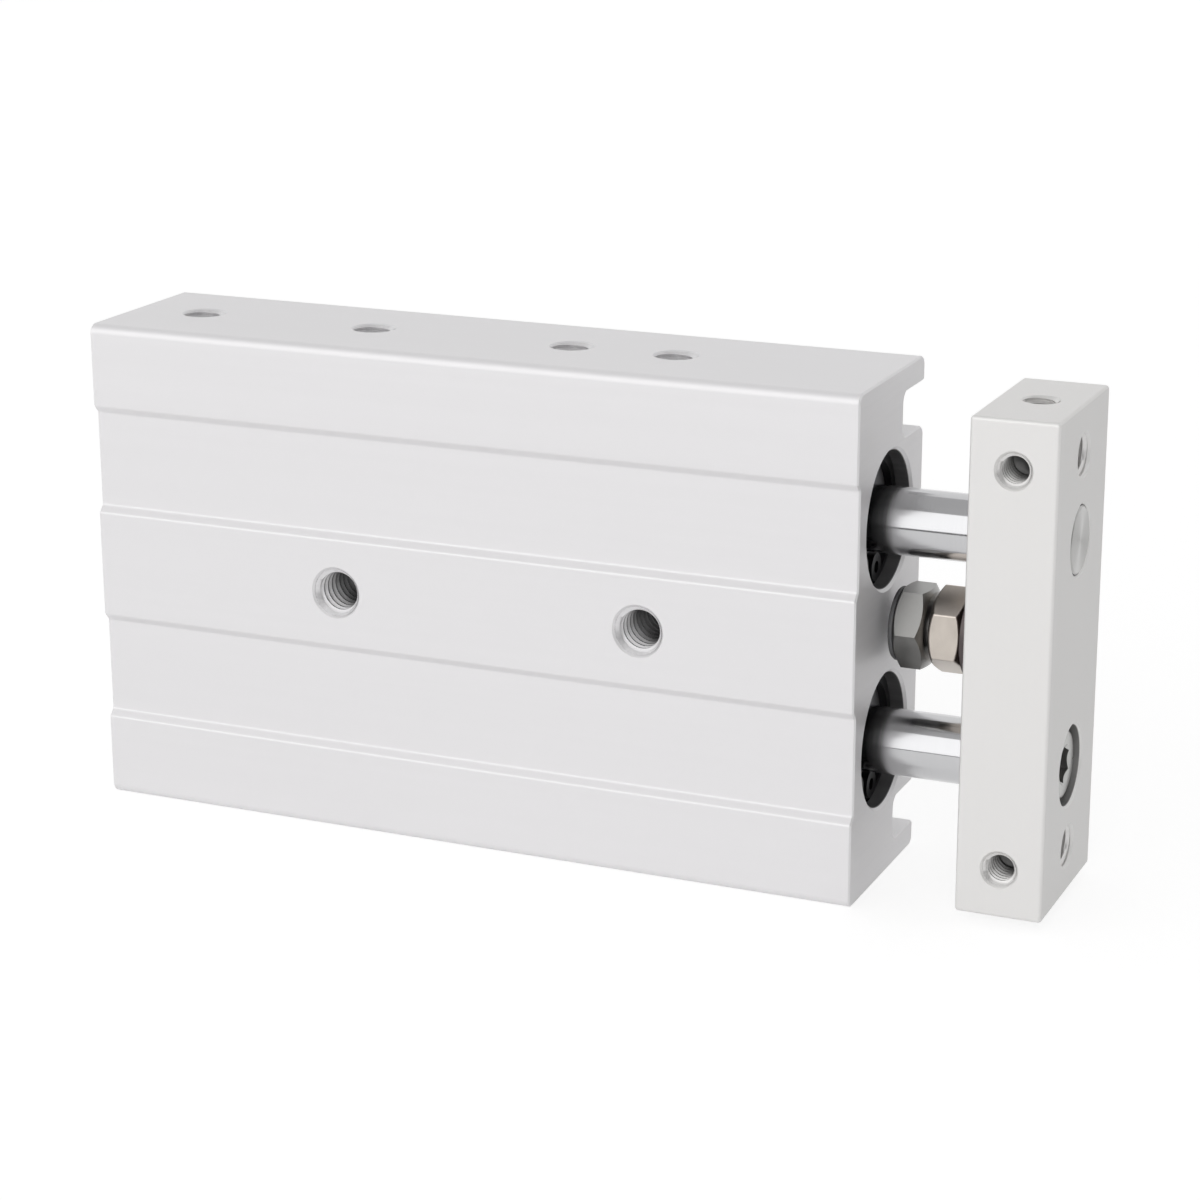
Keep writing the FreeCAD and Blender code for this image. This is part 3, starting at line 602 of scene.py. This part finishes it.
def tapped(name, colour):
    """Anodised thread: light at the mouth, darkened down the hole by painted shade."""
    finish = Finish(name, 0.5, 0.34)
    grain = finish.noise((2600, 2600, 2600), 3.0)
    light = finish.tones(grain, colour, 0.92, 0.99)
    # Painted shade: the colour darkens to 0.12 of itself from 0.8 mm to 6 mm down the hole.
    deep_shade = finish.span(finish.depth(), 0.0, 1.0, 0.8 * MM, 6.0 * MM)
    finish.colour(finish.blend(deep_shade, light, shade(colour, 0.12)))
    finish.gloss(finish.span(grain, 0.28, 0.40))
    finish.marks(grain, 0.0012 * MM)
    return finish.material


def plated(name, colour, roughness, metallic=1.0):
    """Plated, blackened or turned metal: cloudy tone, fine grain and rubbed spots."""
    spread = 0.03
    finish = Finish(name, metallic, roughness)
    cloud = finish.noise((420, 420, 420), 4.0, 0.6)
    grain = finish.noise((2600, 2600, 2600), 3.0)
    finish.colour(finish.tones(cloud, colour, 0.94, 1.05))
    finish.gloss(finish.span(cloud, roughness - spread, roughness + spread))
    finish.marks(grain, 0.001 * MM)
    return finish.material


def moulded(name, colour, roughness):
    """Moulded rubber or plastic: fine pores and a soft sheen."""
    spread = 0.08
    finish = Finish(name, 0.0, roughness)
    pores = finish.noise((3000, 3000, 3000), 4.0, 0.6)
    cloud = finish.noise((300, 300, 300), 2.0)
    finish.colour(finish.tones(cloud, colour, 0.85, 1.3))
    finish.gloss(finish.span(pores, roughness - spread, roughness + spread))
    finish.marks(pores, 0.01 * MM)
    return finish.material


def make_finishes():
    """Every finish of the cylinder, by the name of its material slot."""
    colours = settings("finishes")
    return {
        "housing": extruded_anodised("satin_anodised_extrusion", tuple(colours.anodised)),
        "plate": milled_anodised("satin_anodised_plate", tuple(colours.anodised_plate)),
        "cut_housing": tapped("cut_housing_thread", tuple(colours.anodised)),
        "cut_plate": tapped("cut_plate_thread", tuple(colours.anodised_plate)),
        "cover": plated("turned_aluminium", TURNED_ALUMINIUM, 0.4, metallic=0.8),
        "rod": ground_chrome("hard_chrome", tuple(colours.chrome)),
        "black_steel": plated("blackened_spring_steel", tuple(colours.blackened), 0.38),
        "dark_steel": plated("dark_plated_steel", tuple(colours.bolt_steel), 0.32),
        "washer_steel": plated("dark_spring_washer", SPRING_STEEL, 0.35),
        "nickel_steel": plated("warm_nickel_plate", tuple(colours.nickel), 0.3),
        "bright_steel": plated("bright_steel", SCREW_STEEL, 0.3),
        "rubber": moulded("black_rubber", tuple(colours.rubber), 0.55),
        "urethane": moulded("bumper_urethane", shade(tuple(colours.rubber), URETHANE_SHADE), 0.5),
        "bronze": plated("sintered_bronze", tuple(colours.bronze), 0.4),
        "piston": plated("anodised_piston", PISTON_ALUMINIUM, 0.35, metallic=0.7),
        "magnet": moulded("sintered_ferrite", FERRITE, 0.5),
        "resin": moulded("wear_ring_resin", WEAR_RESIN, 0.45),
    }


FINISHES = {}


def finish_for(slot):
    """The finish of a slot. All are made the first time that one is asked for."""
    if not FINISHES:
        FINISHES.update(make_finishes())
    return FINISHES[slot]


# ---------------------------------------------------------------- camera and stage
# Width of the camera's frame in millimetres, and the nearest thing that it shows.
FRAME_WIDTH = 36.0
NEAR_LIMIT = 0.01

# Each lamp's and board's width, its turn in degrees about Z, and the middles of its foot and its head.
FRONT_SOFTBOX = (1.7, 2.0, (-0.50, -0.37, 0.002), (-0.50, -0.80, 1.15))
FRONT_FILL = (0.5, 30.0, (0.30, -0.50, 0.02), (0.34, -0.60, 0.60))
BACK_PANEL = (1.4, 203.0, (-0.40, 0.95, 0.02), (-0.38, 0.92, 0.85))
SIDE_PANEL = (0.9, 130.0, (0.70, 0.55, 0.05), (0.62, 0.48, 0.80))
OVERHEAD_DIFFUSER = (2.3, 0.0, (-0.15, -0.82, 1.2), (-0.15, 0.72, 1.2))
SIDE_FLAG = (0.55, 60.0, (0.50, -0.32, 0.0), (0.50, -0.32, 0.8))
SOFTBOX_SKIRT = (2.1, 0.0, (-0.35, -0.37, 0.0005), (-0.35, -0.2, 0.0005))
SIDE_FLAG_LEVEL = 0.1
BOARD_COLOUR = (0.02, 0.02, 0.02, 1.0)
WHITE = (1.0, 1.0, 1.0, 1.0)

FLOOR_HALF = 4.0
FLOOR_ROUGHNESS = 0.9
# How bright the floor's own white is to the camera, and its share over the lit colour.
FLOOR_GLOW = 1.3
FLOOR_GLOW_SHARE = 0.6


class CYLINDER_OT_camera(bpy.types.Operator):
    """Place the camera in front of the banded face, to the plate's side and a little above"""
    bl_idname = "cylinder.camera"
    bl_label = "Camera"

    def execute(self, context):
        choice = settings("camera")
        data = bpy.data.cameras.new("product_camera")
        data.lens = choice.lens
        data.sensor_width = FRAME_WIDTH
        data.clip_start = NEAR_LIMIT
        camera = bpy.data.objects.new("product_camera", data)
        camera.location = choice.place
        camera.rotation_euler = choice.turn
        context.scene.collection.objects.link(camera)
        context.scene.camera = camera
        return {"FINISHED"}


class CYLINDER_OT_stage(bpy.types.Operator):
    """Lay the pale floor and set up the room light and the soft panels"""
    bl_idname = "cylinder.stage"
    bl_label = "Stage"

    def execute(self, context):
        choice = settings("studio")
        self.floor(context, choice)
        self.room(context, choice)
        self.panel(context, "front_softbox", choice.front_level, *FRONT_SOFTBOX)
        # Metal doesn't show the three lesser lamps.
        for name, level, place in (("front_fill", choice.fill_level, FRONT_FILL),
                                   ("back_panel", choice.back_level, BACK_PANEL),
                                   ("side_panel", choice.side_level, SIDE_PANEL)):
            lamp = self.panel(context, name, level, *place)
            lamp.visible_glossy = False
        self.card(context, "overhead_diffuser", choice.overhead_level, *OVERHEAD_DIFFUSER)
        self.card(context, "side_flag", SIDE_FLAG_LEVEL, *SIDE_FLAG)
        # Only metal shows the skirt, as a dark line between the softbox and the floor.
        skirt = self.card(context, "softbox_skirt", 0.0, *SOFTBOX_SKIRT)
        skirt.visible_diffuse = False
        skirt.visible_shadow = False
        context.scene.view_settings.view_transform = "Standard"
        return {"FINISHED"}

    def floor(self, context, choice):
        """Pale floor that fades to white for the camera and keeps its shadows."""
        mesh = self.sheet("floor", FLOOR_HALF, FLOOR_HALF)
        floor = bpy.data.objects.new("floor", mesh)
        floor.location.z = HOUSING_BASE
        context.scene.collection.objects.link(floor)
        material = bpy.data.materials.new("pale_floor")
        material.use_nodes = True
        tree = material.node_tree
        shader = tree.nodes["Principled BSDF"]
        shader.inputs["Base Color"].default_value = (*choice.floor_colour, 1.0)
        shader.inputs["Roughness"].default_value = FLOOR_ROUGHNESS
        glow = tree.nodes.new("ShaderNodeEmission")
        glow.inputs["Strength"].default_value = FLOOR_GLOW
        path = tree.nodes.new("ShaderNodeLightPath")
        share = tree.nodes.new("ShaderNodeMath")
        share.operation = "MULTIPLY"
        share.inputs[1].default_value = FLOOR_GLOW_SHARE
        mix = tree.nodes.new("ShaderNodeMixShader")
        join = tree.links.new
        join(self.seen(tree, path), share.inputs[0])
        join(share.outputs["Value"], mix.inputs["Fac"])
        join(shader.outputs["BSDF"], mix.inputs[1])
        join(glow.outputs["Emission"], mix.inputs[2])
        join(mix.outputs["Shader"], tree.nodes["Material Output"].inputs["Surface"])
        mesh.materials.append(material)

    def seen(self, tree, path):
        """1 for what the camera sees, straight on or in metal and glass."""
        kinds = ("Is Camera Ray", "Is Glossy Ray", "Is Transmission Ray")
        either = path.outputs[kinds[0]]
        for kind in kinds[1:]:
            both = tree.nodes.new("ShaderNodeMath")
            both.operation = "MAXIMUM"
            tree.links.new(either, both.inputs[0])
            tree.links.new(path.outputs[kind], both.inputs[1])
            either = both.outputs["Value"]
        return either

    def room(self, context, choice):
        """Even light from all round, plain white where the camera sees it."""
        world = bpy.data.worlds.new("studio")
        world.use_nodes = True
        context.scene.world = world
        tree = world.node_tree
        base = tree.nodes["Background"]
        base.inputs["Color"].default_value = WHITE
        base.inputs["Strength"].default_value = choice.sky_level
        white = tree.nodes.new("ShaderNodeBackground")
        white.inputs["Color"].default_value = WHITE
        white.inputs["Strength"].default_value = 1.0
        path = tree.nodes.new("ShaderNodeLightPath")
        mix = tree.nodes.new("ShaderNodeMixShader")
        join = tree.links.new
        join(self.seen(tree, path), mix.inputs["Fac"])
        join(base.outputs["Background"], mix.inputs[1])
        join(white.outputs["Background"], mix.inputs[2])
        join(mix.outputs["Shader"], tree.nodes["World Output"].inputs["Surface"])

    def sheet(self, name, half_width, half_height):
        """Flat rectangle about its middle."""
        mesh = bpy.data.meshes.new(name)
        corners = [(-half_width, -half_height, 0), (half_width, -half_height, 0),
                   (half_width, half_height, 0), (-half_width, half_height, 0)]
        mesh.from_pydata(corners, [], [(0, 1, 2, 3)])
        return mesh

    def panel(self, context, name, level, width, turn, foot, head):
        """Rectangular lamp between the middles of its foot and its head. Its face is level bright."""
        data = bpy.data.lights.new(name, "AREA")
        data.shape = "RECTANGLE"
        data.size = width
        data.size_y = (Vector(head) - Vector(foot)).length
        data.energy = level * math.pi * data.size * data.size_y
        return self.stand(context, name, data, turn, foot, head)

    def card(self, context, name, level, width, turn, foot, head):
        """Evenly glowing board between the middles of its foot and its head."""
        mesh = self.sheet(name, width / 2, (Vector(head) - Vector(foot)).length / 2)
        material = bpy.data.materials.new(name)
        material.use_nodes = True
        shader = material.node_tree.nodes["Principled BSDF"]
        shader.inputs["Base Color"].default_value = BOARD_COLOUR
        shader.inputs["Emission Color"].default_value = WHITE
        shader.inputs["Emission Strength"].default_value = level
        mesh.materials.append(material)
        board = self.stand(context, name, mesh, turn, foot, head)
        return board

    def stand(self, context, name, data, turn, foot, head):
        """Stand a lamp or a board between its foot and its head, unseen by the camera."""
        foot, head = Vector(foot), Vector(head)
        up = (head - foot).normalized()
        around = math.radians(turn)
        side = Vector((math.cos(around), math.sin(around), 0.0))
        made = bpy.data.objects.new(name, data)
        made.matrix_world = Matrix((side, up, side.cross(up))).transposed().to_4x4()
        made.location = (foot + head) / 2
        made.visible_camera = False
        context.scene.collection.objects.link(made)
        return made


# ---------------------------------------------------------------- finishes and tapped holes
class CYLINDER_OT_finishes(bpy.types.Operator):
    """Give every carried-over part the finish of its material slot"""
    bl_idname = "cylinder.finishes"
    bl_label = "Finishes"

    def execute(self, context):
        for node in frame["nodes"].values():
            for slot in node.material_slots:
                slot.material = finish_for(slot.material.name.split(".")[0])
        return {"FINISHED"}


class CYLINDER_OT_tapped_holes(bpy.types.Operator):
    """Cut the helical threads of the housing's and the plate's tapped holes"""
    bl_idname = "cylinder.tapped_holes"
    bl_label = "Tapped Holes"

    def execute(self, context):
        housing_holes = {}
        plate_holes = {}
        for name, mount in MOUNTS.items():
            if mount["kind"] != "threaded_hole":
                continue
            axis = Vector(mount["axis"])
            length = mount["dims"]["length_mm"] * MM
            mouth = Vector(mount["pos_m"]) + axis * length / 2
            home = plate_holes if name.startswith("plate") else housing_holes
            # A port opens into its bore and a wide face's thread into a bolt hole. The rest end blind.
            blind = "port" not in name and "wide" not in name
            self.hole(home, mouth, -axis, mount["dims"]["r_mm"], length, blind)
        self.end_face_holes(plate_holes)
        self.set_screw_hole(plate_holes)
        for holes, prefix, body, slot in ((housing_holes, "housing_", "housing_assembly", "housing"),
                                          (plate_holes, "plate_", "carriage", "plate")):
            for family, (parts, depths) in holes.items():
                made = piece(prefix + family, parts, Vector(), body, finish_for("cut_" + slot), depths)
                sharpen(made, math.radians(50))
        return {"FINISHED"}

    def end_face_holes(self, home):
        """The two threads that go right through the plate, along X."""
        pattern = MOUNTS["plate_end_threads"]
        length = PLATE_HIGH.x - PLATE_LOW.x - 2 * PLATE_COUNTERSINK
        half_spacing = pattern["dims"]["spacing_y_mm"] * MM / 2
        for height in (pattern["pos_m"][2] + half_spacing, pattern["pos_m"][2] - half_spacing):
            mouth = Vector((PLATE_HIGH.x - PLATE_COUNTERSINK, 0, height))
            self.hole(home, mouth, -AXIS_X, pattern["dims"]["hole_r_mm"], length, False)

    def set_screw_hole(self, home):
        """The thread over the set screw, from the plate's top down to the screw."""
        mouth = Vector(((PLATE_LOW.x + PLATE_HIGH.x) / 2, 0, PLATE_HIGH.z))
        self.hole(home, mouth, DOWN, SET_SCREW_RADIUS, PLATE_HIGH.z - SET_SCREW_TOP, False, False)

    def hole(self, home, mouth, inward, radius_mm, length, blind, lined=True):
        """Add one hole's thread and lining to its family of like holes."""
        parts, depths = home.setdefault("m%d_threads" % round(2 * radius_mm), ([], []))
        radius = radius_mm * MM
        made = [thread(mouth, inward, radius, length, COARSE_PITCH[radius_mm] * MM, True)]
        if lined:
            made.append(hole_lining(mouth, inward, radius, length, blind))
        for points, faces in made:
            parts.append((points, faces))
            depths += [(point - mouth).dot(inward) for point in points]


# ---------------------------------------------------------------- stop bolt and cap screw
# Radii of the stop bolt's thread, of the rings that go over it and of the bumper's stem in its head.
BOLT_RADIUS = 3.0 * MM
BOLT_HOLE = 3.04 * MM
STEM_RADIUS = 2.0 * MM


class CYLINDER_OT_bumper_bolt(bpy.types.Operator):
    """Make the stop bolt between the rods: hexagon head, rolled thread"""
    bl_idname = "cylinder.bumper_bolt"
    bl_label = "Bumper Bolt"

    def execute(self, context):
        choice = settings("fasteners")
        sides = choice.sides
        start = BOLT_LOW.x
        end = start + choice.head_length
        pocket = STEM_RADIUS + 0.02 * MM
        pocket_depth = 1.62 * MM
        core = 2.46 * MM
        point = 0.5 * MM
        rings = [ring(start + pocket_depth, pocket, sides), ring(start, pocket, sides)]
        rings += hexagon_block(start, end, choice)
        rings += [ring(end, core, sides), ring(BOLT_HIGH.x - point, core, sides),
                  ring(BOLT_HIGH.x, core - point, sides)]
        neck = 0.1 * MM
        lead = 0.3 * MM
        shank = thread(Vector((end + neck, 0, 0)), AXIS_X, BOLT_RADIUS, BOLT_HIGH.x - end - neck - lead,
                       COARSE_PITCH[3.0] * MM, False)
        body = turned(skin(rings, True, True), choice.head_turn)
        made = piece("stop_bolt", [body, shank], on_axis(BOLT_LOW, BOLT_HIGH), "carriage",
                     finish_for("dark_steel"))
        soften(made, choice.edge, math.radians(20))
        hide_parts("bumper_bolt")
        return {"FINISHED"}


class CYLINDER_OT_lock_nut(bpy.types.Operator):
    """Make the lock nut behind the bolt's head"""
    bl_idname = "cylinder.lock_nut"
    bl_label = "Lock Nut"

    def execute(self, context):
        choice = settings("fasteners")
        sides = choice.sides
        lead = 0.35 * MM
        rings = [ring(NUT_LOW.x + lead, BOLT_HOLE, sides), ring(NUT_LOW.x, BOLT_HOLE + lead, sides)]
        rings += hexagon_block(NUT_LOW.x, NUT_HIGH.x, choice)
        rings += [ring(NUT_HIGH.x, BOLT_HOLE + lead, sides), ring(NUT_HIGH.x - lead, BOLT_HOLE, sides)]
        body = turned(skin(rings, False, False, True), choice.nut_turn)
        made = piece("stop_bolt_nut", [body], on_axis(NUT_LOW, NUT_HIGH), "carriage",
                     finish_for("nickel_steel"))
        soften(made, choice.edge, math.radians(20))
        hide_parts("lock_nut")
        return {"FINISHED"}


class CYLINDER_OT_lock_washer(bpy.types.Operator):
    """Make the spring washer: square wire with one slanted split"""
    bl_idname = "cylinder.lock_washer"
    bl_label = "Lock Washer"

    def execute(self, context):
        low, high = WASHER_LOW, WASHER_HIGH
        outer = (high.z - low.z) / 2
        wire = ((low.x, BOLT_HOLE), (high.x, BOLT_HOLE), (high.x, outer), (low.x, outer))
        sides = 72
        split = math.radians(205.0)
        half_gap = 0.6 * MM
        slant = math.tan(math.radians(20.0))
        rings = []
        for index in range(sides + 1):
            share = index / sides
            corners = []
            for x, radius in wire:
                shift = (x - (low.x + high.x) / 2) * slant
                first = (shift + half_gap) / radius
                last = 2 * math.pi + (shift - half_gap) / radius
                angle = split + first + (last - first) * share
                corners.append(Vector((x, -radius * math.sin(angle), radius * math.cos(angle))))
            rings.append(corners)
        made = piece("spring_washer", [skin(rings, True, True)], on_axis(low, high), "carriage",
                     finish_for("washer_steel"))
        soften(made, 0.12 * MM, math.radians(40))
        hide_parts("lock_washer")
        return {"FINISHED"}


class CYLINDER_OT_bumper_pad(bpy.types.Operator):
    """Make the rubber bumper pressed into the bolt's head"""
    bl_idname = "cylinder.bumper_pad"
    bl_label = "Bumper Pad"

    def execute(self, context):
        sides = settings("fasteners").sides
        low, high = PAD_LOW, PAD_HIGH
        outer = (high.z - low.z) / 2
        head = BOLT_LOW.x
        edge = 0.06 * MM
        lead = 0.2 * MM
        # Dished face, rounded rim, back against the bolt's head, stem.
        outline = [(low.x + edge, outer * 0.45), (low.x, outer * 0.62)]
        outline += [(low.x, outer - 0.35 * MM), (low.x + 0.08 * MM, outer - 0.12 * MM),
                    (low.x + 0.25 * MM, outer)]
        outline += [(head - edge, outer), (head, outer - edge), (head, STEM_RADIUS)]
        outline += [(high.x - lead, STEM_RADIUS), (high.x, STEM_RADIUS - lead)]
        rings = [ring(x, radius, sides) for x, radius in outline]
        made = piece("stop_bumper", [skin(rings, True, True)], on_axis(low, high), "carriage",
                     finish_for("urethane"))
        sharpen(made, math.radians(50))
        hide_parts("bumper_pad")
        return {"FINISHED"}


class CYLINDER_OT_cap_screw(bpy.types.Operator):
    """Make the socket-head screw that holds the lower rod in the plate"""
    bl_idname = "cylinder.cap_screw"
    bl_label = "Cap Screw"

    def execute(self, context):
        sides = settings("fasteners").sides
        low, high = SCREW_LOW, SCREW_HIGH
        head_radius = (high.z - low.z) / 2
        head_start = high.x - 5.0 * MM
        core = 2.06 * MM
        crest = 2.46 * MM
        point = 0.4 * MM
        rings = [ring(low.x, core - point, sides), ring(low.x + point, core, sides),
                 ring(head_start, core, sides), ring(head_start, head_radius, sides)]
        edge = 0.6 * MM
        steps = 6
        for step in range(steps + 1):
            angle = math.pi / 2 * step / steps
            rings.append(ring(high.x - edge + edge * math.sin(angle),
                              head_radius - edge + edge * math.cos(angle), sides))
        rings += self.socket(high.x, sides)
        lead = 0.1 * MM
        neck = 0.5 * MM
        shank = thread(Vector((low.x + lead, 0, 0)), AXIS_X, crest, head_start - low.x - lead - neck,
                       COARSE_PITCH[2.5] * MM, False)
        made = piece("rod_cap_screw", [skin(rings, True, True), shank], on_axis(low, high), "carriage",
                     finish_for("bright_steel"))
        sharpen(made, math.radians(28))
        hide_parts("plate_cap_screw")
        return {"FINISHED"}

    def socket(self, face, sides):
        """Rings down a hexagon socket: countersunk corners, flat walls and the broach's drilled point."""
        flats = 4.0 * MM
        floor = face - 2.6 * MM
        mouth = flats / math.sqrt(3) + 0.12 * MM
        slope = math.tan(math.radians(35.0))
        drill, drill_depth, drill_tip = 1.6 * MM, 0.8 * MM, 0.15 * MM
        return [ring(face, mouth, sides), hexagon_ring(face, flats, sides, mouth, -slope),
                hexagon_ring(floor, flats, sides), ring(floor, drill, sides),
                ring(floor - drill_depth, drill_tip, sides)]


# ---------------------------------------------------------------- add-on
# The operators in the order in which they run.
STEPS = ("camera", "stage", "finishes", "tapped_holes", "bumper_bolt", "lock_nut", "lock_washer",
         "bumper_pad", "cap_screw")


class CYLINDER_PT_sidebar(bpy.types.Panel):
    """Lists the steps that dress the cylinder"""
    bl_idname = "CYLINDER_PT_sidebar"
    bl_label = "Pneumatic Cylinder"
    bl_space_type = "VIEW_3D"
    bl_region_type = "UI"
    bl_category = "Cylinder"

    def draw(self, context):
        column = self.layout.column()
        for step in STEPS:
            column.operator("cylinder." + step)


CLASSES = (
    CameraSettings, StudioSettings, FinishSettings, FastenerSettings, ThreadSettings,
    CYLINDER_OT_camera, CYLINDER_OT_stage, CYLINDER_OT_finishes, CYLINDER_OT_tapped_holes,
    CYLINDER_OT_bumper_bolt, CYLINDER_OT_lock_nut, CYLINDER_OT_lock_washer, CYLINDER_OT_bumper_pad,
    CYLINDER_OT_cap_screw, CYLINDER_PT_sidebar,
)


def register():
    for kind in CLASSES:
        bpy.utils.register_class(kind)
    bpy.types.Scene.cylinder_camera = PointerProperty(type=CameraSettings)
    bpy.types.Scene.cylinder_studio = PointerProperty(type=StudioSettings)
    bpy.types.Scene.cylinder_finishes = PointerProperty(type=FinishSettings)
    bpy.types.Scene.cylinder_fasteners = PointerProperty(type=FastenerSettings)
    bpy.types.Scene.cylinder_threads = PointerProperty(type=ThreadSettings)


def unregister():
    for group in ("camera", "studio", "finishes", "fasteners", "threads"):
        delattr(bpy.types.Scene, "cylinder_" + group)
    for kind in reversed(CLASSES):
        bpy.utils.unregister_class(kind)


def main():
    """Runs every step."""
    register()
    for step in STEPS:
        getattr(bpy.ops.cylinder, step)()


if __name__ == "__main__":
    main()
